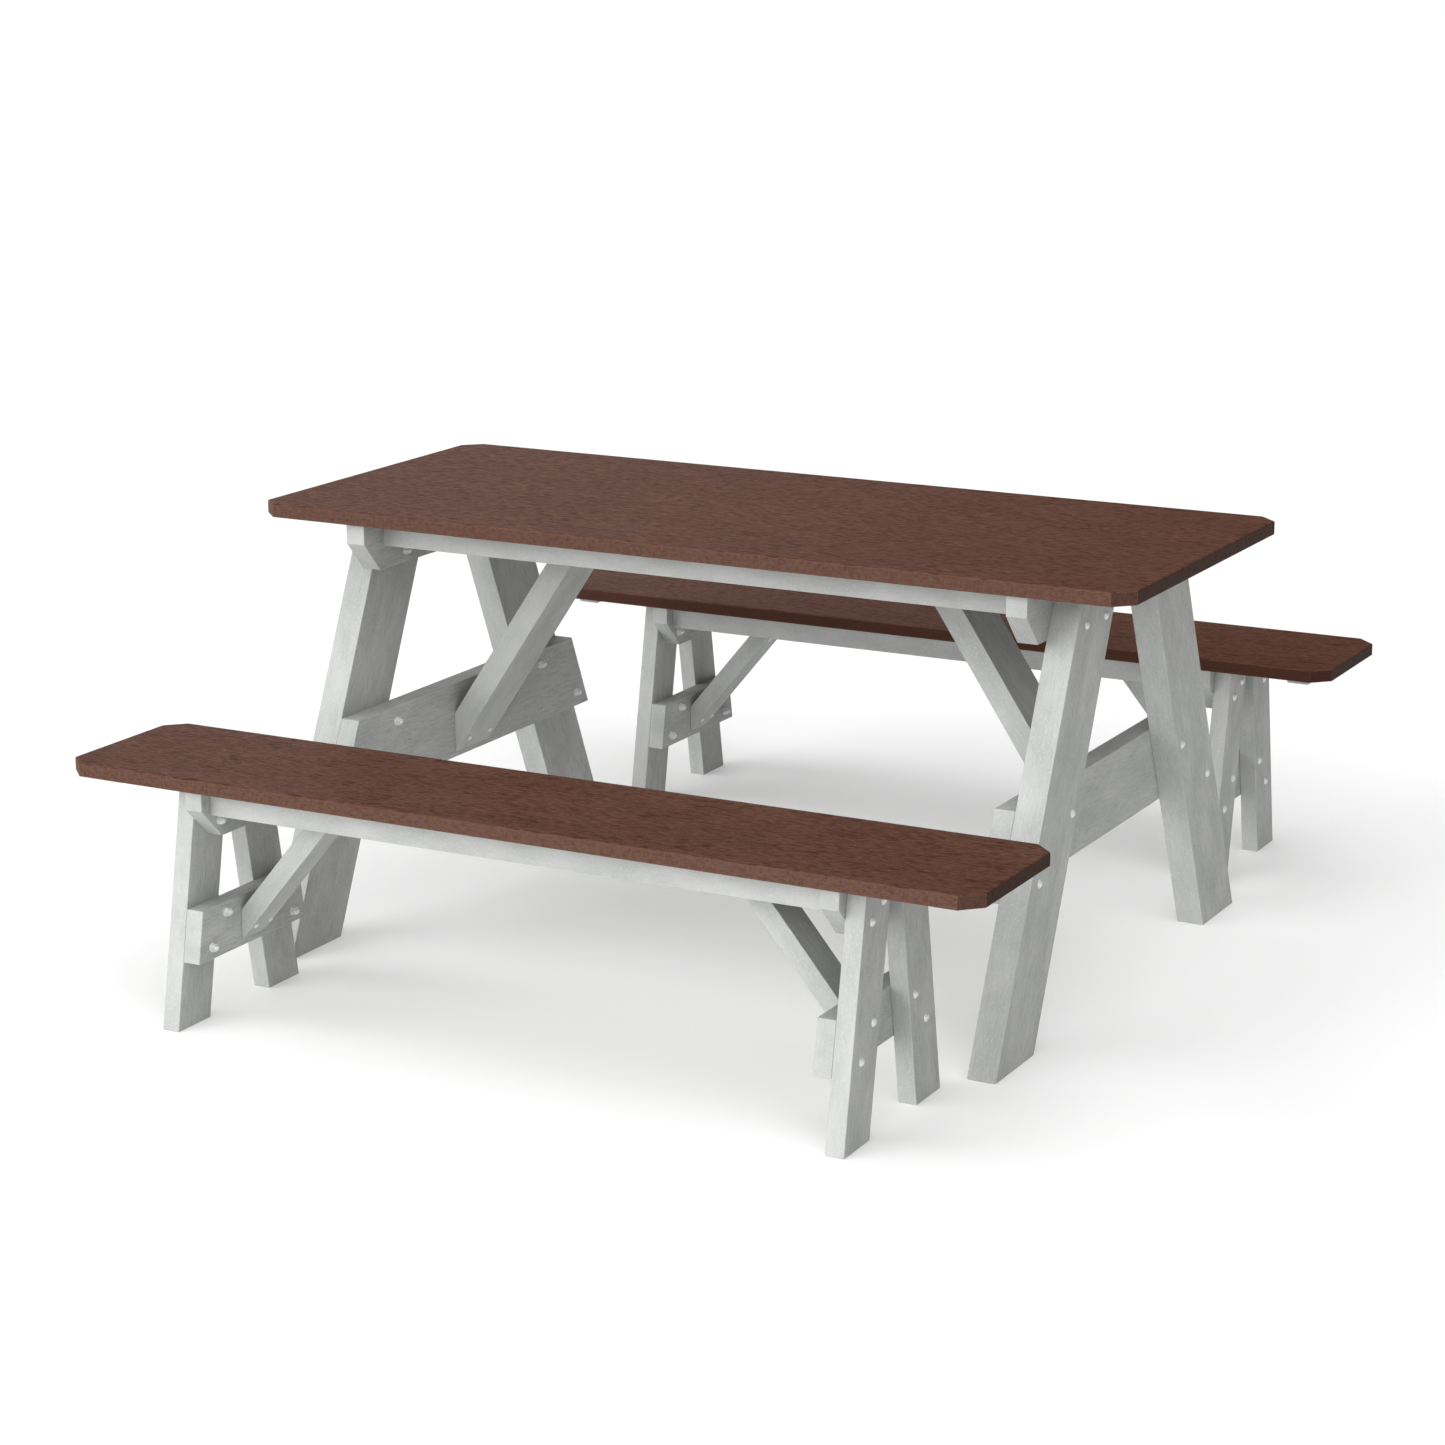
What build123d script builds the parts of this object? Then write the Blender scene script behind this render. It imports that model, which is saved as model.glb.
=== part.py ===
from build123d import *
import os
from dataclasses import dataclass
from math import hypot

# A picnic table and its two free-standing benches. All three are a slab on the same kind of trestle:
# two splayed leg pairs, each with a cleat at the top and a stretcher lower down, three rails under the
# slab, and a diagonal brace from each stretcher up to the centre rail. Millimetres throughout.
# X runs along the table, Y across it, +Z is up. The origin is on the floor, midway between the benches.
# "left" is -X, "right" is +X, "front" is -Y and "rear" is +Y.


@dataclass(frozen=True)
class Trestle:
    """Driving dimensions of one slab and its trestle. Distances across Y are from its own centre."""

    name: str  # the piece as a whole
    slab_name: str
    centre_y: float
    length: float
    width: float
    height: float  # floor to the slab's upper face
    slab_thickness: float
    rail_thickness: float
    side_rail_face: float  # centre to the outer face of a side rail
    leg_face: float  # |x| of the legs' outer faces
    leg_thickness: float
    leg_width: float  # level width of a leg, along Y
    foot_reach: float  # centre to a leg's outer edge, at the floor
    top_reach: float  # the same under the slab
    cross_thickness: float  # cleats and stretchers, cut from one board size
    cleat_half_length: float
    cleat_slope: float  # how far along Y the cleat's sloping end runs
    stretcher_bottom: float
    stretcher_top: float
    brace_width: float
    brace_bottom: float  # lowest point of the upright cut against the stretcher
    brace_top: float  # highest point of that cut
    brace_rise: float  # rise over run
    cleat_bolts: tuple  # (distance from centre, height) of each bolt of one leg
    stretcher_bolts: tuple
    rail_screws: tuple  # x of the screws up each rail
    cleat_screws: tuple  # y of the screws up each cleat
    end_battens: bool

    @property
    def underside(self):
        return self.height - self.slab_thickness

    @property
    def rail_bottom(self):
        return self.underside - RAIL_HEIGHT

    @property
    def leg_inner(self):
        """|x| of the face where the legs meet the cleat and the stretcher."""
        return self.leg_face - self.leg_thickness

    @property
    def cross_inner(self):
        """|x| of the inner faces of the cleats and stretchers."""
        return self.leg_inner - self.cross_thickness

    def reach(self, z):
        """Centre to the legs' outer edge at height z."""
        return self.foot_reach + (self.top_reach - self.foot_reach) * z / self.underside

    def node(self, piece):
        return f"{self.name}_{piece}"


SIDES = (("left", -1), ("right", 1))
ENDS = (("front", -1), ("rear", 1))

SLAB_CORNER = 32.0  # leg of each clipped corner
SLAB_TOP_EASE = 3.0
SLAB_BOTTOM_EASE = 1.5
BOARD_EASE = 1.5

RAIL_HEIGHT = 47.0
CLEAT_HEIGHT = 89.0
CLEAT_END_HEIGHT = 36.0
BATTEN_X = 757.0  # |x| of an end batten's centre line
BATTEN_WIDTH = 41.0
BATTEN_LENGTH = 220.0
BATTEN_THICKNESS = 14.5

BOLT_RADIUS = 4.0
BOLT_HOLE_RADIUS = 4.3
BOLT_HEAD_RADIUS = 8.0
BOLT_HEAD_HEIGHT = 4.2
BOLT_NECK = 8.0  # side of the square neck under the head
BOLT_NECK_LENGTH = 4.5
NECK_SOCKET = 8.6  # square hole that the neck sits in
NECK_SOCKET_DEPTH = 5.0
BOLT_END = 4.0  # bolt past the nut
BOLT_END_CHAMFER = 1.0
WASHER_RADIUS = 8.5
WASHER_THICKNESS = 1.6
NUT_FLATS = 13.0
NUT_HEIGHT = 6.5
NUT_BORE_RADIUS = 4.05
NUT_FACE_RADIUS = 6.3  # round face left by the cone that takes off the nut's corners
NUT_CONE_TAPER = -60.0

SCREW_RADIUS = 2.4
SCREW_HOLE_RADIUS = 2.6
SCREW_LENGTH = 60.0
SCREW_POINT = 6.0
SCREW_HEAD_RADIUS = 5.0
SCREW_HEAD_HEIGHT = 2.6
SCREW_HEAD_CHAMFER = 1.2
SCREW_SOCKET_RADIUS = 2.0
SCREW_SOCKET_DEPTH = 1.5
COUNTERBORE_RADIUS = 6.0
SCREW_IN_SLAB = 18.0
SCREW_HOLE_SPARE = 1.0  # hole past the screw's point
BRACE_SCREW_SETBACK = 32.0  # along the brace, from each end of its lower face
BRACE_SCREW_SPREAD = 0.31  # brace's middle to a screw, as a share of the brace's width

BENCH_CENTRE_Y = 789.0
TABLE_CENTRE_Y = -13.0  # the table stands a little nearer to the front bench

TABLE = Trestle(
    name="table",
    slab_name="tabletop",
    centre_y=TABLE_CENTRE_Y,
    length=1651.0,
    width=710.0,
    height=769.0,
    slab_thickness=24.0,
    rail_thickness=37.0,
    side_rail_face=282.0,
    leg_face=697.0,
    leg_thickness=50.0,
    leg_width=155.0,
    foot_reach=548.0,
    top_reach=221.0,
    cross_thickness=37.0,
    cleat_half_length=342.0,
    cleat_slope=49.0,
    stretcher_bottom=259.0,
    stretcher_top=399.0,
    brace_width=116.0,
    brace_bottom=266.0,
    brace_top=343.0,
    brace_rise=1.5,
    cleat_bolts=((128.0, 678.0), (210.0, 678.0)),
    stretcher_bolts=((252.0, 372.0), (385.0, 288.0)),
    rail_screws=(-520.0, -210.0, 0.0, 210.0, 520.0),
    cleat_screws=(-262.0, -169.0, 0.0, 169.0, 262.0),
    end_battens=False,
)


def bench(name, centre_y):
    """One bench; the front and the rear one differ only in name and place."""
    return Trestle(
        name=name,
        slab_name=f"{name}_seat",
        centre_y=centre_y,
        length=1651.0,
        width=303.0,
        height=430.0,
        slab_thickness=23.0,
        rail_thickness=32.0,
        side_rail_face=108.0,
        leg_face=626.0,
        leg_thickness=32.0,
        leg_width=89.0,
        foot_reach=174.0,
        top_reach=102.0,
        cross_thickness=32.0,
        cleat_half_length=131.5,
        cleat_slope=54.0,
        stretcher_bottom=115.0,
        stretcher_top=203.0,
        brace_width=66.0,
        brace_bottom=125.0,
        brace_top=178.0,
        brace_rise=1.2,
        cleat_bolts=((44.0, 370.0), (83.0, 347.0)),
        stretcher_bolts=((74.5, 186.5), (116.0, 136.0)),
        rail_screws=(-480.0, -200.0, 0.0, 200.0, 480.0),
        cleat_screws=(-63.5, 0.0, 63.5),
        end_battens=True,
    )


BENCHES = (bench("front_bench", -BENCH_CENTRE_Y), bench("rear_bench", BENCH_CENTRE_Y))


# Working planes, each facing out of the wood that is cut or drilled from it.


def end_plane(unit, side, distance):
    """Square to X at |x| = distance, facing outward; its local axes are side * Y and Z."""
    return Plane(origin=(side * distance, unit.centre_y, 0), x_dir=(0, side, 0), z_dir=(side, 0, 0))


def front_plane(unit, y):
    """Square to Y, facing the front; its local axes are X and Z."""
    return Plane(origin=(0, unit.centre_y + y, 0), x_dir=(1, 0, 0), z_dir=(0, -1, 0))


def down_plane(unit, z):
    """Level at height z, facing the floor; its local axes are X and -Y."""
    return Plane(origin=(0, unit.centre_y, z), x_dir=(1, 0, 0), z_dir=(0, 0, -1))


def brace_run(unit, z, start):
    """How far from the stretcher a brace edge that starts at height start has come at height z."""
    return (z - start) / unit.brace_rise


def brace_plane(unit, side, end):
    """On a brace's lower face at its lower or upper screws; its local x runs up the brace."""
    slant = hypot(1, unit.brace_rise)
    run = brace_run(unit, unit.rail_bottom, unit.brace_bottom)
    along = BRACE_SCREW_SETBACK if end == "lower" else run * slant - BRACE_SCREW_SETBACK
    origin = (
        side * (unit.cross_inner - along / slant),
        unit.centre_y,
        unit.brace_bottom + along * unit.brace_rise / slant,
    )
    return Plane(
        origin=origin,
        x_dir=(-side, 0, unit.brace_rise),
        z_dir=(-side * unit.brace_rise, 0, -1),
    )


# Places of the fasteners, shared by the holes and by what goes in them.


def across(side, end, places):
    """Local points on an end plane, for places given as (distance from centre, height)."""
    return [(side * end * y, z) for y, z in places]


def leg_bolts(unit, side, end):
    return across(side, end, unit.cleat_bolts + unit.stretcher_bolts)


def both_legs(unit, side, places):
    return across(side, -1, places) + across(side, 1, places)


def all_bolts(unit, distance):
    """A location for each bolt of the unit, |x| = distance, z facing outward."""
    return [
        end_plane(unit, side, distance) * Pos(x, z)
        for _, side in SIDES
        for x, z in both_legs(unit, side, unit.cleat_bolts + unit.stretcher_bolts)
    ]


def rail_centres(unit):
    side = unit.side_rail_face - unit.rail_thickness / 2
    return {"front": -side, "centre": 0.0, "rear": side}


def slab_screws(unit):
    """(x, y) of every screw that comes up through a rail or a cleat into the slab."""
    up_rails = [(x, y) for y in rail_centres(unit).values() for x in unit.rail_screws]
    cleat_x = unit.leg_inner - unit.cross_thickness / 2
    up_cleats = [(side * cleat_x, y) for _, side in SIDES for y in unit.cleat_screws]
    return up_rails + up_cleats


def brace_screws(unit):
    """Local points of the pair of screws at each end of a brace."""
    spread = unit.brace_width * BRACE_SCREW_SPREAD
    return [(0, -spread), (0, spread)]


def drill(plane, places, radius, depth):
    """Round holes in the part in hand, from the plane inward."""
    with BuildSketch(plane) as holes:
        with Locations(*places):
            Circle(radius)
    extrude(holes.sketch, amount=-depth, mode=Mode.SUBTRACT)


def write(board, name):
    board.part.label = name
    export_step(board.part, f"parts/{name}.step")


def make_slab(unit):
    with BuildPart() as slab:
        with BuildSketch(Plane.XY.move(Pos(0, unit.centre_y, unit.underside))) as outline:
            Rectangle(unit.length, unit.width)
            chamfer(outline.vertices(), length=SLAB_CORNER)
        extrude(amount=unit.slab_thickness)
        fillet(slab.faces().sort_by(Axis.Z)[-1].edges(), radius=SLAB_TOP_EASE)
        fillet(slab.faces().sort_by(Axis.Z)[0].edges(), radius=SLAB_BOTTOM_EASE)
        points = [(x, -y) for x, y in slab_screws(unit)]
        drill(down_plane(unit, unit.underside), points, SCREW_HOLE_RADIUS, SCREW_IN_SLAB + SCREW_HOLE_SPARE)
    write(slab, unit.slab_name)


def make_rail(unit, name, y):
    counterbore = SCREW_IN_SLAB + RAIL_HEIGHT - SCREW_LENGTH
    points = [(x, -y) for x in unit.rail_screws]
    with BuildPart() as rail:
        with BuildSketch(down_plane(unit, unit.underside)):
            with Locations((0, -y)):
                Rectangle(2 * unit.cross_inner, unit.rail_thickness)
        extrude(amount=RAIL_HEIGHT)
        fillet(rail.edges(), radius=BOARD_EASE)
        drill(down_plane(unit, unit.rail_bottom), points, SCREW_HOLE_RADIUS, RAIL_HEIGHT)
        drill(down_plane(unit, unit.rail_bottom), points, COUNTERBORE_RADIUS, counterbore)
        if name == "centre":
            drill_for_braces(unit)
    write(rail, unit.node(f"{name}_rail"))


def drill_for_braces(unit):
    """Holes for the brace screws, in whichever board they end in."""
    for _, side in SIDES:
        for end in ("lower", "upper"):
            plane = brace_plane(unit, side, end)
            drill(plane, brace_screws(unit), SCREW_HOLE_RADIUS, SCREW_LENGTH + SCREW_HOLE_SPARE)


def make_cleat(unit, side_name, side):
    bottom = unit.underside - CLEAT_HEIGHT
    counterbore = SCREW_IN_SLAB + CLEAT_HEIGHT - SCREW_LENGTH
    half = unit.cleat_half_length
    outline = [
        (-half, unit.underside),
        (-half, unit.underside - CLEAT_END_HEIGHT),
        (unit.cleat_slope - half, bottom),
        (half - unit.cleat_slope, bottom),
        (half, unit.underside - CLEAT_END_HEIGHT),
        (half, unit.underside),
    ]
    screw_x = side * (unit.leg_inner - unit.cross_thickness / 2)
    screws = [(screw_x, -y) for y in unit.cleat_screws]
    with BuildPart() as cleat:
        with BuildSketch(end_plane(unit, side, unit.cross_inner)):
            Polygon(*outline, align=None)
        extrude(amount=unit.cross_thickness)
        fillet(cleat.edges(), radius=BOARD_EASE)
        bolts = both_legs(unit, side, unit.cleat_bolts)
        drill(end_plane(unit, side, unit.leg_inner), bolts, BOLT_HOLE_RADIUS, unit.cross_thickness)
        drill(down_plane(unit, bottom), screws, SCREW_HOLE_RADIUS, CLEAT_HEIGHT)
        drill(down_plane(unit, bottom), screws, COUNTERBORE_RADIUS, counterbore)
    write(cleat, unit.node(f"{side_name}_cleat"))


def make_end_batten(unit, side_name, side):
    with BuildPart() as batten:
        with BuildSketch(down_plane(unit, unit.underside)):
            with Locations((side * BATTEN_X, 0)):
                Rectangle(BATTEN_WIDTH, BATTEN_LENGTH)
        extrude(amount=BATTEN_THICKNESS)
        fillet(batten.edges(), radius=BOARD_EASE)
    write(batten, unit.node(f"{side_name}_end_batten"))


def make_leg(unit, side_name, side, end_name, end):
    outline = [
        (unit.foot_reach, 0),
        (unit.top_reach, unit.underside),
        (unit.top_reach - unit.leg_width, unit.underside),
        (unit.foot_reach - unit.leg_width, 0),
    ]
    with BuildPart() as leg:
        with BuildSketch(end_plane(unit, side, unit.leg_inner)):
            Polygon(*across(side, end, outline), align=None)
        extrude(amount=unit.leg_thickness)
        fillet(leg.edges(), radius=BOARD_EASE)
        outer = end_plane(unit, side, unit.leg_face)
        drill(outer, leg_bolts(unit, side, end), BOLT_HOLE_RADIUS, unit.leg_thickness)
        with BuildSketch(outer):
            with Locations(*leg_bolts(unit, side, end)):
                Rectangle(NECK_SOCKET, NECK_SOCKET)
        extrude(amount=-NECK_SOCKET_DEPTH, mode=Mode.SUBTRACT)
    write(leg, unit.node(f"{end_name}_{side_name}_leg"))


def make_stretcher(unit, side_name, side):
    bottom = unit.reach(unit.stretcher_bottom)
    top = unit.reach(unit.stretcher_top)
    outline = [
        (-bottom, unit.stretcher_bottom),
        (bottom, unit.stretcher_bottom),
        (top, unit.stretcher_top),
        (-top, unit.stretcher_top),
    ]
    with BuildPart() as stretcher:
        with BuildSketch(end_plane(unit, side, unit.cross_inner)):
            Polygon(*outline, align=None)
        extrude(amount=unit.cross_thickness)
        fillet(stretcher.edges(), radius=BOARD_EASE)
        bolts = both_legs(unit, side, unit.stretcher_bolts)
        drill(end_plane(unit, side, unit.leg_inner), bolts, BOLT_HOLE_RADIUS, unit.cross_thickness)
        drill_for_braces(unit)
    write(stretcher, unit.node(f"{side_name}_stretcher"))


def make_brace(unit, side_name, side):
    top = unit.rail_bottom
    outline = [
        (unit.cross_inner, unit.brace_bottom),
        (unit.cross_inner, unit.brace_top),
        (unit.cross_inner - brace_run(unit, top, unit.brace_top), top),
        (unit.cross_inner - brace_run(unit, top, unit.brace_bottom), top),
    ]
    with BuildPart() as brace:
        with BuildSketch(front_plane(unit, unit.brace_width / 2)):
            Polygon(*[(side * x, z) for x, z in outline], align=None)
        extrude(amount=unit.brace_width)
        fillet(brace.edges(), radius=BOARD_EASE)
        drill_for_braces(unit)
    write(brace, unit.node(f"{side_name}_brace"))


def make_bolts(unit):
    """Carriage bolts with the head at local z = 0 and above, and the shank below it."""
    length = unit.leg_thickness + unit.cross_thickness + WASHER_THICKNESS + NUT_HEIGHT + BOLT_END
    with BuildPart() as bolt:
        with BuildSketch(Plane.XY):
            Circle(BOLT_RADIUS)
        extrude(amount=-length)
        chamfer(bolt.edges().sort_by(Axis.Z)[0], length=BOLT_END_CHAMFER)
        with BuildSketch(Plane.XY):
            Rectangle(BOLT_NECK, BOLT_NECK)
        extrude(amount=-BOLT_NECK_LENGTH)
        with BuildSketch(Plane.XZ):
            with BuildLine():
                dome = TangentArc((0, BOLT_HEAD_HEIGHT), (BOLT_HEAD_RADIUS, 0), tangent=(1, 0))
                Polyline(dome @ 1, (0, 0), dome @ 0)
            make_face()
        revolve(axis=Axis.Z)
    with BuildPart() as bolts:
        with Locations(*all_bolts(unit, unit.leg_face)):
            add(bolt.part)
    write(bolts, unit.node("bolts"))


def make_washers(unit):
    with BuildPart() as washers:
        with Locations(*all_bolts(unit, unit.cross_inner - WASHER_THICKNESS / 2)):
            Cylinder(WASHER_RADIUS, WASHER_THICKNESS)
            Cylinder(BOLT_HOLE_RADIUS, WASHER_THICKNESS, mode=Mode.SUBTRACT)
    write(washers, unit.node("washers"))


def make_nuts(unit):
    with BuildPart() as nut:
        with BuildSketch(Plane.XY):
            RegularPolygon(NUT_FLATS / 2, 6, major_radius=False)
            Circle(NUT_BORE_RADIUS, mode=Mode.SUBTRACT)
        extrude(amount=-NUT_HEIGHT)
        with BuildSketch(Plane.XY.offset(-NUT_HEIGHT)):
            Circle(NUT_FACE_RADIUS)
        extrude(amount=NUT_HEIGHT, taper=NUT_CONE_TAPER, mode=Mode.INTERSECT)
    with BuildPart() as nuts:
        with Locations(*all_bolts(unit, unit.cross_inner - WASHER_THICKNESS)):
            add(nut.part)
    write(nuts, unit.node("nuts"))


def make_screws(unit):
    """Pan-head screws with the head at local z = 0 and above, and the shank below it."""
    with BuildPart() as screw:
        with BuildSketch(Plane.XZ):
            with BuildLine():
                Polyline(
                    (0, SCREW_HEAD_HEIGHT),
                    (SCREW_HEAD_RADIUS - SCREW_HEAD_CHAMFER, SCREW_HEAD_HEIGHT),
                    (SCREW_HEAD_RADIUS, SCREW_HEAD_HEIGHT - SCREW_HEAD_CHAMFER),
                    (SCREW_HEAD_RADIUS, 0),
                    (SCREW_RADIUS, 0),
                    (SCREW_RADIUS, SCREW_POINT - SCREW_LENGTH),
                    (0, -SCREW_LENGTH),
                    close=True,
                )
            make_face()
        revolve(axis=Axis.Z)
        with BuildSketch(Plane.XY.offset(SCREW_HEAD_HEIGHT)):
            RegularPolygon(SCREW_SOCKET_RADIUS, 6)
        extrude(amount=-SCREW_SOCKET_DEPTH, mode=Mode.SUBTRACT)
    head_z = unit.underside + SCREW_IN_SLAB - SCREW_LENGTH
    level = [down_plane(unit, head_z) * Pos(x, -y) for x, y in slab_screws(unit)]
    slanted = [
        brace_plane(unit, side, end) * Pos(x, y)
        for _, side in SIDES
        for end in ("lower", "upper")
        for x, y in brace_screws(unit)
    ]
    with BuildPart() as screws:
        with Locations(*level, *slanted):
            add(screw.part)
    write(screws, unit.node("screws"))


def make_trestle(unit):
    make_slab(unit)
    for name, y in rail_centres(unit).items():
        make_rail(unit, name, y)
    for side_name, side in SIDES:
        make_cleat(unit, side_name, side)
        make_stretcher(unit, side_name, side)
        make_brace(unit, side_name, side)
        if unit.end_battens:
            make_end_batten(unit, side_name, side)
        for end_name, end in ENDS:
            make_leg(unit, side_name, side, end_name, end)
    make_bolts(unit)
    make_washers(unit)
    make_nuts(unit)
    make_screws(unit)


os.makedirs("parts", exist_ok=True)
for trestle in (TABLE, *BENCHES):
    make_trestle(trestle)
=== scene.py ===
"""The picnic table's looks: brown slabs, light grey boards, zinc fasteners, and a pale studio.

Lengths are metres, in the row frame: X along the table, Y across it, Z up from the floor.
"""

import math

import bpy
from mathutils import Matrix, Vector


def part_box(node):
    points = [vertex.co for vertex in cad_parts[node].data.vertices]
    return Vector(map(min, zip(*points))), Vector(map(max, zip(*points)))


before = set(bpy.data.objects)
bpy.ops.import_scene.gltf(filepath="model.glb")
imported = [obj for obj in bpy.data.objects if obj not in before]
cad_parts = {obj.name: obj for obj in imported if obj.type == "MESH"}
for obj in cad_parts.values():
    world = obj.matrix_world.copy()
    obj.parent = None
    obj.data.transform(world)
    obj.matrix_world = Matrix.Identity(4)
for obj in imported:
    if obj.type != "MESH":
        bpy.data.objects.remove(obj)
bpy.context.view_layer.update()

# Camera: where it aims, and where it stands from there.
CAMERA_AIM = Vector((-0.081, -0.013, 0.375))
CAMERA_DISTANCE = 6.252
CAMERA_AZIMUTH = math.radians(27.86)
CAMERA_ELEVATION = math.radians(14.31)
CAMERA_LENS = 86.99  # millimetres, like the sensor's width
CAMERA_SENSOR = 36.0

# Light: an even dim room, and broad soft lamps as (name, azimuth, elevation, strength), in degrees.
ROOM_STRENGTH = 0.02
BACKDROP_STRENGTH = 1.0
LAMPS = (
    ("key", -45.0, 12.0, 2.83),
    ("front", 0.0, 12.0, 1.81),
    ("fill", 45.0, 35.0, 1.31),
    ("top", 0.0, 85.0, 1.33),
    ("rim", -125.0, 14.0, 0.75),
)
LAMP_SPREAD = math.radians(60.0)
WHITE = (1.0, 1.0, 1.0, 1.0)

FLOOR_COLOUR = (0.80, 0.80, 0.80, 1.0)
FLOOR_ROUGHNESS = 0.9
FLOOR_GLOW = 0.217
FLOOR_SIZE = 60.0
FLOOR_GAP = 0.0005  # under the feet, so that floor and feet don't fight for the same plane

# Colours, linear. Each surface runs between two of its own, and patterns lay the others over it.
BROWN_DARK = (0.050, 0.014, 0.007, 1.0)
BROWN_DEEP = (0.064, 0.023, 0.014, 1.0)
BROWN_LIGHT = (0.140, 0.064, 0.042, 1.0)
BROWN_EDGE = (0.104, 0.056, 0.041, 1.0)
BROWN_EDGE_PAINTED_SHADE = (0.048, 0.021, 0.014, 1.0)  # painted shade: the rear seat's edges, darker than the others' as if shaded by the tabletop
BROWN_END = (0.018, 0.005, 0.002, 1.0)
# Painted highlight for the slabs' rounded edges.
BROWN_EDGE_HIGHLIGHT = (0.190, 0.110, 0.085, 1.0)
GREY_DARK = (0.335, 0.345, 0.333, 1.0)
GREY_BRUSHED = (0.230, 0.240, 0.230, 1.0)
GREY_LIGHT = (0.435, 0.443, 0.435, 1.0)
# Light specks on the boards, and the painted highlight on their rounded edges.
GREY_SPECK_AND_HIGHLIGHT = (0.540, 0.545, 0.540, 1.0)
ZINC_DULL = (0.56, 0.57, 0.57, 1.0)
ZINC_BRIGHT = (0.76, 0.77, 0.77, 1.0)

# Noises: features per metre along the grain, the same across it, detail and roughness.
SLAB_CLOUD = (4.0, 12.0, 3.0, 0.6)
SLAB_WAVE = (14.0, 70.0, 3.0, 0.6)
SLAB_DASH = (38.0, 150.0, 3.0, 0.55)
SLAB_STREAK = (60.0, 190.0, 5.0, 0.75)
SLAB_FINE = (240.0, 520.0, 2.0, 0.6)
SLAB_BLOTCH = (90.0, 260.0, 4.0, 0.7)
SLAB_SAW = (300.0, 300.0, 3.0, 0.6)
SLAB_SAW_UPRIGHT = 90.0  # the saw marks' features per metre up the edge: fewer, so they stand upright
BOARD_CLOUD = (8.0, 20.0, 5.0, 0.65)
BOARD_BRUSH = (32.0, 420.0, 5.0, 0.7)
BOARD_SPECK = (220.0, 420.0, 2.0, 0.5)
ZINC_CLOUD = (220.0, 220.0, 4.0, 0.6)

# Bands: the two noise values between which a pattern goes from absent to full, or a finish changes.
SLAB_CLOUD_BAND = (0.35, 0.65)
SLAB_WAVE_BAND = (0.65, 0.35)
SLAB_DASH_BAND = (0.55, 0.63)
SLAB_DASH_GROUP_BAND = (0.35, 0.6)
SLAB_STREAK_BAND = (0.34, 0.66)
SLAB_BLOTCH_BAND = (0.44, 0.64)
SLAB_SAW_BAND = (0.45, 0.7)
SLAB_HIGHLIGHT_BAND = (0.3, 0.6)
BOARD_CLOUD_BAND = (0.2, 0.8)
BOARD_BRUSH_BAND = (0.48, 0.62)
BOARD_SPECK_BAND = (0.52, 0.72)
GLOSS_BAND = (0.3, 0.7)
ZINC_CLOUD_BAND = (0.3, 0.7)

# Shares: how much of its colour each pattern puts over the ones below it.
SLAB_CLOUD_SHARE = 0.2
SLAB_WAVE_SHARE = 0.35
SLAB_DASH_SHARE = 0.9
SLAB_DASH_LEAST = 0.3  # of a dash's own strength, where the wave leaves it weakest
SLAB_BLOTCH_SHARE = 0.6
SLAB_SAW_SHARE = 0.35
SLAB_END_SHARE = 0.8
SLAB_HIGHLIGHT_SHARES = (0.1, 0.45)
BOARD_BRUSH_SHARE = 0.5
BOARD_SPECK_SHARE = 0.4
BOARD_HIGHLIGHT_SHARE = 0.35

# Finish: roughness at the low and the high end of GLOSS_BAND, specular and metallic levels, bump depth
# and strength, and the width of the painted highlight along rounded edges.
SLAB_ROUGHNESS = (0.62, 0.48)
SLAB_SPECULAR = 0.05
SLAB_BUMP = (0.0005, 0.6)
SLAB_HIGHLIGHT_WIDTH = 0.004
BOARD_ROUGHNESS = (0.66, 0.52)
BOARD_SPECULAR = 0.3
BOARD_BUMP = (0.0006, 0.5)
BOARD_HIGHLIGHT_WIDTH = 0.003
ZINC_ROUGHNESS = (0.30, 0.48)
ZINC_METALLIC = 0.2
ZINC_BUMP = (0.0002, 0.3)

# Facings: shares of the normal along an axis, between which a face goes from not counting to counting.
UPRIGHT_FACING = (0.7, 0.3)  # along Z and falling, so upright faces count
END_FACING = (0.55, 0.95)  # along X
BRUSHED_FACING = (1.2, 0.6)  # along Y and falling: a face straight towards Y keeps a quarter of its marks

EDGE_SAMPLES = 6
EDGE_BAND = (0.995, 0.90)  # cosine between the true and the softened normal, from flat to fully on an edge

# Shape facts of the trestles, for the grain directions: a leg's width measured level, and a brace's
# rise for each metre along X.
LEG_LEVEL_WIDTH = {"table": 0.155, "front_bench": 0.089, "rear_bench": 0.089}
BRACE_RISE = {"table": 1.5, "front_bench": 1.2, "rear_bench": 1.2}
UNITS = tuple(LEG_LEVEL_WIDTH)

SEED_STEP = Vector((0.71, 0.37, 0.53))  # how far on in its noise each next piece starts
ZINC_SEED = 1
ALONG_X = Vector((1, 0, 0))
ALONG_Y = Vector((0, 1, 0))


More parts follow.
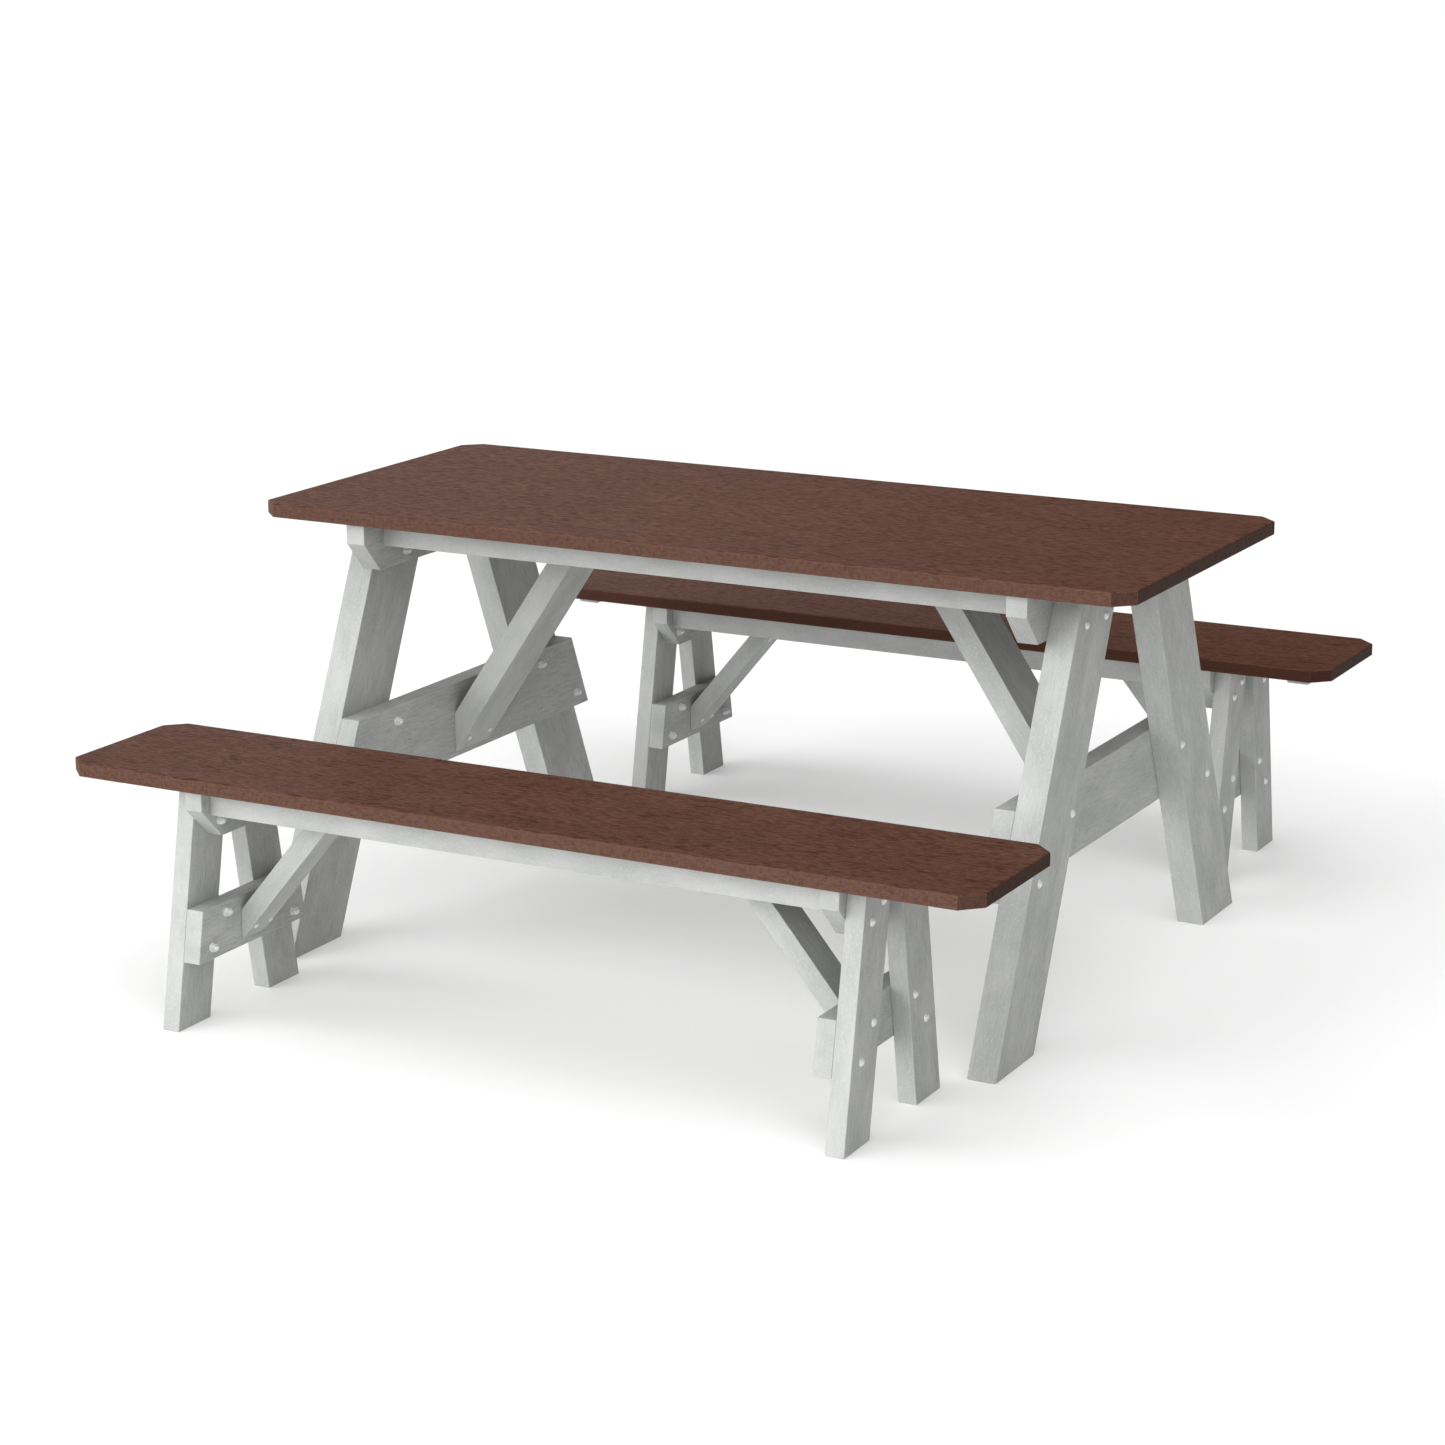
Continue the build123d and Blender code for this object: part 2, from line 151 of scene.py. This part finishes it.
class Graph:
    """Adds nodes to one material's tree. An input is a value, or an output to link from."""

    def __init__(self, material):
        material.use_nodes = True
        self.tree = material.node_tree
        self.tree.nodes.clear()

    def add(self, kind, inputs=None, **settings):
        node = self.tree.nodes.new(kind)
        for name, value in settings.items():
            setattr(node, name, value)
        for key, value in (inputs or {}).items():
            socket = node.inputs[key]
            if isinstance(value, bpy.types.NodeSocket):
                self.tree.links.new(value, socket)
            else:
                socket.default_value = value
        return node

    def noise(self, space, along, across, detail, roughness, upright=None):
        """Noise with that many features per metre along X, and across it in Y and Z, unless Z has its own."""
        scale = (along, across, upright or across)
        fitted = self.add("ShaderNodeMapping", {"Vector": space, "Scale": scale}).outputs["Vector"]
        inputs = {"Vector": fitted, "Scale": 1.0, "Detail": detail, "Roughness": roughness}
        return self.add("ShaderNodeTexNoise", inputs).outputs["Fac"]

    def span(self, value, low, high, to_low=0.0, to_high=1.0):
        """Value from low to high becomes to_low to to_high, smoothly and held at the ends."""
        inputs = {"Value": value, "From Min": low, "From Max": high, "To Min": to_low, "To Max": to_high}
        return self.add("ShaderNodeMapRange", inputs, interpolation_type="SMOOTHSTEP").outputs["Result"]

    def maths(self, operation, a, b=0.0):
        return self.add("ShaderNodeMath", {0: a, 1: b}, operation=operation).outputs["Value"]

    def blend(self, share, a, b):
        """Colour a, with `share` of colour b over it."""
        # The Mix node repeats its sockets' names for each data type, so the colour ones go by place.
        return self.add("ShaderNodeMix", {0: share, 6: a, 7: b}, data_type="RGBA").outputs[2]

    def facing(self, axis, least, most):
        """0 to 1 as the share of the surface's normal that is along the axis goes from least to most."""
        normal = self.add("ShaderNodeNewGeometry").outputs["Normal"]
        share = self.add("ShaderNodeSeparateXYZ", {"Vector": normal}).outputs[axis]
        return self.span(self.maths("ABSOLUTE", share), least, most)

    def edges(self, radius):
        """1 on the rounded edges of a piece, and 0 on its flat faces."""
        soft = self.add("ShaderNodeBevel", {"Radius": radius}, samples=EDGE_SAMPLES).outputs["Normal"]
        true = self.add("ShaderNodeNewGeometry").outputs["Normal"]
        dot = self.add("ShaderNodeVectorMath", {0: soft, 1: true}, operation="DOT_PRODUCT").outputs["Value"]
        return self.span(dot, *EDGE_BAND)

    def bump(self, height, depth, strength):
        inputs = {"Height": height, "Distance": depth, "Strength": strength}
        return self.add("ShaderNodeBump", inputs).outputs["Normal"]

    def finish(self, **inputs):
        """Ends the tree in one Principled shader; an underscore in a name stands for a space."""
        named = {key.replace("_", " "): value for key, value in inputs.items()}
        shader = self.add("ShaderNodeBsdfPrincipled", named)
        self.add("ShaderNodeOutputMaterial", {"Surface": shader.outputs["BSDF"]})


def board_space(graph, direction, seed):
    """Object coordinates turned so that X runs along the board, and moved on so that no two boards match."""
    turn = ALONG_X.rotation_difference(direction).to_euler()
    place = SEED_STEP * seed
    raw = graph.add("ShaderNodeTexCoord").outputs["Object"]
    inputs = {"Vector": raw, "Location": place, "Rotation": turn}
    return graph.add("ShaderNodeMapping", inputs, vector_type="TEXTURE").outputs["Vector"]


def slab_material(name, seed, edge_colour_and_painted_shade):
    """Brown slab: short dark dashes of grain along X, blotched cut edges with saw marks, and darker ends."""
    material = bpy.data.materials.new(name)
    graph = Graph(material)
    space = board_space(graph, ALONG_X, seed)
    upright = graph.facing("Z", *UPRIGHT_FACING)
    end = graph.facing("X", *END_FACING)
    cloud = graph.noise(space, *SLAB_CLOUD)
    wave = graph.noise(space, *SLAB_WAVE)
    streak = graph.noise(space, *SLAB_STREAK)
    fine = graph.noise(space, *SLAB_FINE)
    dash = graph.span(graph.noise(space, *SLAB_DASH), *SLAB_DASH_BAND)
    dash = graph.maths("MULTIPLY", dash, graph.span(wave, *SLAB_DASH_GROUP_BAND, SLAB_DASH_LEAST, 1.0))
    level = graph.blend(graph.span(streak, *SLAB_STREAK_BAND), BROWN_DEEP, BROWN_LIGHT)
    level = graph.blend(graph.span(wave, *SLAB_WAVE_BAND, 0.0, SLAB_WAVE_SHARE), level, BROWN_LIGHT)
    level = graph.blend(graph.span(cloud, *SLAB_CLOUD_BAND, 0.0, SLAB_CLOUD_SHARE), level, BROWN_DEEP)
    level = graph.blend(graph.maths("MULTIPLY", dash, SLAB_DASH_SHARE), level, BROWN_DARK)
    blotch = graph.span(graph.noise(space, *SLAB_BLOTCH), *SLAB_BLOTCH_BAND)
    saw = graph.noise(space, *SLAB_SAW, upright=SLAB_SAW_UPRIGHT)
    # The edges start from their given colour, which on the rear seat is painted shade.
    edge = graph.blend(graph.maths("MULTIPLY", blotch, SLAB_BLOTCH_SHARE), edge_colour_and_painted_shade, BROWN_DEEP)
    edge = graph.blend(graph.span(saw, *SLAB_SAW_BAND, 0.0, SLAB_SAW_SHARE), edge, BROWN_DARK)
    edge = graph.blend(graph.maths("MULTIPLY", end, SLAB_END_SHARE), edge, BROWN_END)
    base = graph.blend(upright, level, edge)
    # A painted highlight along the rounded edges, patchy with fine noise.
    highlight_strength = graph.span(fine, *SLAB_HIGHLIGHT_BAND, *SLAB_HIGHLIGHT_SHARES)
    edge_highlight = graph.maths("MULTIPLY", graph.edges(SLAB_HIGHLIGHT_WIDTH), highlight_strength)
    base = graph.blend(edge_highlight, base, BROWN_EDGE_HIGHLIGHT)
    relief = graph.maths("SUBTRACT", graph.maths("ADD", streak, fine), dash)
    graph.finish(
        Base_Color=base,
        Specular_IOR_Level=SLAB_SPECULAR,
        Roughness=graph.span(streak, *GLOSS_BAND, *SLAB_ROUGHNESS),
        Normal=graph.bump(relief, *SLAB_BUMP),
    )
    return material


def board_material(name, direction, seed):
    """Light grey board: brushed along its length, with soft clouds, fine light specks and a painted highlight
    on its rounded edges.
    """
    material = bpy.data.materials.new(name)
    graph = Graph(material)
    space = board_space(graph, direction, seed)
    cloud = graph.noise(space, *BOARD_CLOUD)
    brush = graph.noise(space, *BOARD_BRUSH)
    speck = graph.noise(space, *BOARD_SPECK)
    base = graph.blend(graph.span(cloud, *BOARD_CLOUD_BAND), GREY_DARK, GREY_LIGHT)
    brushed = graph.facing("Y", *BRUSHED_FACING)
    grooves = graph.maths("MULTIPLY", graph.span(brush, *BOARD_BRUSH_BAND), brushed)
    base = graph.blend(graph.maths("MULTIPLY", grooves, BOARD_BRUSH_SHARE), base, GREY_BRUSHED)
    base = graph.blend(graph.span(speck, *BOARD_SPECK_BAND, 0.0, BOARD_SPECK_SHARE), base, GREY_SPECK_AND_HIGHLIGHT)
    # A painted highlight along every rounded edge.
    edge_highlight = graph.maths("MULTIPLY", graph.edges(BOARD_HIGHLIGHT_WIDTH), BOARD_HIGHLIGHT_SHARE)
    base = graph.blend(edge_highlight, base, GREY_SPECK_AND_HIGHLIGHT)
    graph.finish(
        Base_Color=base,
        Specular_IOR_Level=BOARD_SPECULAR,
        Roughness=graph.span(cloud, *GLOSS_BAND, *BOARD_ROUGHNESS),
        Normal=graph.bump(graph.maths("ADD", brush, speck), *BOARD_BUMP),
    )
    return material


def zinc_material():
    """Bright zinc-plated steel, a little cloudy."""
    material = bpy.data.materials.new("zinc")
    graph = Graph(material)
    space = board_space(graph, ALONG_X, ZINC_SEED)
    cloud = graph.noise(space, *ZINC_CLOUD)
    graph.finish(
        Base_Color=graph.blend(graph.span(cloud, *ZINC_CLOUD_BAND), ZINC_DULL, ZINC_BRIGHT),
        Metallic=ZINC_METALLIC,
        Roughness=graph.span(cloud, *GLOSS_BAND, *ZINC_ROUGHNESS),
        Normal=graph.bump(cloud, *ZINC_BUMP),
    )
    return material


def unit_of(node):
    """The table or the bench that a node belongs to."""
    return next(unit for unit in UNITS if node.startswith(unit))


def grain(node):
    """The direction that a board's length runs in."""
    low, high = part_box(node)
    size, centre = high - low, (high + low) / 2
    unit = unit_of(node)
    if node.endswith("_leg"):
        unit_low, unit_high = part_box(f"{unit}_left_stretcher")
        outward = math.copysign(1, centre.y - (unit_low.y + unit_high.y) / 2)
        return Vector((0, -outward * (size.y - LEG_LEVEL_WIDTH[unit]), size.z)).normalized()
    if node.endswith("_brace"):
        return Vector((-math.copysign(1, centre.x), 0, BRACE_RISE[unit])).normalized()
    if size.x > size.y:
        return ALONG_X
    return ALONG_Y


def paint():
    """Gives every CAD node its material."""
    zinc = zinc_material()
    for seed, (name, node) in enumerate(sorted(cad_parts.items())):
        if name == "tabletop" or name.endswith("_seat"):
            # The rear seat's edges take a painted shade colour, darker than the other slabs' edges.
            edge_colour_and_painted_shade = BROWN_EDGE_PAINTED_SHADE if unit_of(name) == "rear_bench" else BROWN_EDGE
            material = slab_material(f"brown_{name}", seed, edge_colour_and_painted_shade)
        elif name.endswith(("_bolts", "_washers", "_nuts", "_screws")):
            material = zinc
        else:
            material = board_material(f"grey_{name}", grain(name), seed)
        node.data.materials.clear()
        node.data.materials.append(material)


def make_floor():
    """A plain pale floor, a little bright in itself so that it meets the white behind it."""
    mesh = bpy.data.meshes.new("floor")
    half = FLOOR_SIZE / 2
    corners = [(x * half, y * half, -FLOOR_GAP) for x, y in ((-1, -1), (1, -1), (1, 1), (-1, 1))]
    mesh.from_pydata(corners, [], [(0, 1, 2, 3)])
    floor = bpy.data.objects.new("floor", mesh)
    bpy.context.scene.collection.objects.link(floor)
    material = bpy.data.materials.new("floor")
    graph = Graph(material)
    graph.finish(
        Base_Color=FLOOR_COLOUR,
        Roughness=FLOOR_ROUGHNESS,
        Emission_Color=WHITE,
        Emission_Strength=FLOOR_GLOW,
    )
    mesh.materials.append(material)


def from_polar(azimuth, elevation):
    """A unit vector towards that direction; azimuth 0 is the front, -Y, and it grows towards +X."""
    level = math.cos(elevation)
    return Vector((math.sin(azimuth) * level, -math.cos(azimuth) * level, math.sin(elevation)))


def light_room():
    """Dim to every surface, so that the lamps shape them, and white behind them."""
    world = bpy.data.worlds.new("room")
    bpy.context.scene.world = world
    world.use_nodes = True
    tree = world.node_tree
    room = tree.nodes["Background"]
    room.inputs["Strength"].default_value = ROOM_STRENGTH
    backdrop = tree.nodes.new("ShaderNodeBackground")
    for background in (room, backdrop):
        background.inputs["Color"].default_value = WHITE
    backdrop.inputs["Strength"].default_value = BACKDROP_STRENGTH
    path = tree.nodes.new("ShaderNodeLightPath")
    either = tree.nodes.new("ShaderNodeMixShader")
    tree.links.new(path.outputs["Is Camera Ray"], either.inputs[0])
    tree.links.new(room.outputs[0], either.inputs[1])
    tree.links.new(backdrop.outputs[0], either.inputs[2])
    tree.links.new(either.outputs[0], tree.nodes["World Output"].inputs["Surface"])


def hang_lamps():
    for name, azimuth, elevation, strength in LAMPS:
        data = bpy.data.lights.new(name, "SUN")
        data.energy = strength
        data.angle = LAMP_SPREAD
        lamp = bpy.data.objects.new(name, data)
        lamp.rotation_mode = "QUATERNION"
        towards = from_polar(math.radians(azimuth), math.radians(elevation))
        lamp.rotation_quaternion = towards.to_track_quat("Z", "Y")
        bpy.context.scene.collection.objects.link(lamp)


def make_camera():
    data = bpy.data.cameras.new("camera")
    data.lens = CAMERA_LENS
    data.sensor_width = CAMERA_SENSOR
    camera = bpy.data.objects.new("camera", data)
    back = from_polar(CAMERA_AZIMUTH, CAMERA_ELEVATION)
    camera.location = CAMERA_AIM + back * CAMERA_DISTANCE
    camera.rotation_mode = "QUATERNION"
    camera.rotation_quaternion = (-back).to_track_quat("-Z", "Y")
    bpy.context.scene.collection.objects.link(camera)
    bpy.context.scene.camera = camera


paint()
make_floor()
light_room()
hang_lamps()
make_camera()
bpy.context.scene.view_settings.view_transform = "Standard"
